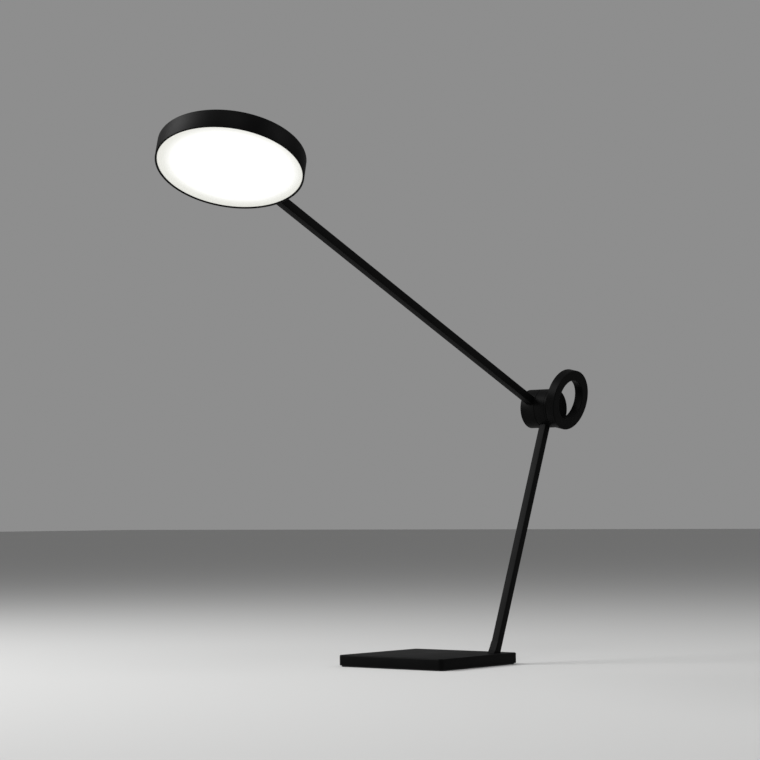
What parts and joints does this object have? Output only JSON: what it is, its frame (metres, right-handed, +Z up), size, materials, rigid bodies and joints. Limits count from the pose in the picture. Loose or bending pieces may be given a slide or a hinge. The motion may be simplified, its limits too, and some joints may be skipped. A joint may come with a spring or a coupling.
{
  "type": "desk lamp",
  "caption": "Desk lamp: flat round lit head on a long straight arm, friction joint with a ring grip on a leaning stem, heavy square base plate.",
  "frame": {"origin": "centre of the base's underside, on the desk", "axes": "+Z up from the desk; the arm swings in a plane along X, with the head on the -X side; the ring grip faces -Y"},
  "size_m": [0.6977, 0.2062, 0.602],
  "materials": {
    "coated_steel": "fine matt black powder coat on steel",
    "coated_aluminium": "fine matt black powder coat on aluminium",
    "pad_rubber": "soft, matt",
    "screw_steel": "zinc plated",
    "bright_steel": "turned",
    "insert_brass": "turned",
    "fibre": "pressed fibre",
    "bearing_plastic": "plain bearing plastic",
    "wire_sleeve": "soft sleeve",
    "bare_aluminium": "bare, satin",
    "circuit_white": "white circuit strip",
    "circuit_green": "green circuit board",
    "light_yellow": "small lights, lit",
    "clear_guide": "clear, polished",
    "reflector_white": "white sheet",
    "opal": "opal, lit from inside",
    "gasket_rubber": "soft",
    "switch_black": "moulded"
  },
  "bodies": {
    "base": {"base_plate": "coated_steel", "base_pad": "pad_rubber", "stem_foot": "coated_steel", "foot_screws": "screw_steel", "cable_grommet": "switch_black", "cord_clip": "bearing_plastic", "clip_screws": "screw_steel", "stem_tube": "coated_steel", "stem_lead": "wire_sleeve", "stem_drum": "coated_aluminium", "stem_set_screw": "screw_steel", "pivot_axle": "bright_steel", "friction_disc": "fibre"},
    "arm": {"arm_drum": "coated_aluminium", "arm_bush": "bearing_plastic", "spring_washers": "bright_steel", "thrust_washer": "bright_steel", "joint_cap": "coated_aluminium", "arm_tube": "coated_aluminium", "arm_lead": "wire_sleeve", "arm_set_screw": "screw_steel", "swivel_pin": "bright_steel", "pin_clip": "bright_steel"},
    "head": {"head_housing": "coated_aluminium", "swivel_sleeve": "bearing_plastic", "heat_spreader": "bare_aluminium", "spreader_screws": "screw_steel", "light_strip": "circuit_white", "lights": "light_yellow", "light_guide": "clear_guide", "reflector_sheet": "reflector_white", "diffuser": "opal", "diffuser_gasket": "gasket_rubber", "dimmer_board": "circuit_green", "board_screws": "screw_steel", "touch_switch": "switch_black"},
    "clamp": {"clamp_ring": "coated_aluminium", "clamp_insert": "insert_brass"},
    "button": {"dimmer_button": "switch_black"}
  },
  "joints": [
    {"name": "arm_pitch", "type": "hinge", "parent": "base", "child": "arm", "pos_m": [0.17516, -0.048, 0.31333], "axis": [0, 1, 0], "range_deg": [-42, 60]},
    {"name": "head_swivel", "type": "hinge", "parent": "arm", "child": "head", "pos_m": [-0.40703, -0.048, 0.55926], "axis": [-0.9212, 0, 0.3891], "range_deg": [-99, 80]},
    {"name": "clamp_turn", "type": "hinge", "parent": "base", "child": "clamp", "pos_m": [0.17516, -0.0705, 0.31333], "axis": [0, -1, 0], "range_deg": [0, 90]},
    {"name": "button_press", "type": "slide", "parent": "head", "child": "button", "axis": [-0.3839, -0.1633, -0.9088], "range_m": [0, 0.0006], "stiffness_N_per_m": 1500, "springref_m": -0.0004}
  ]
}
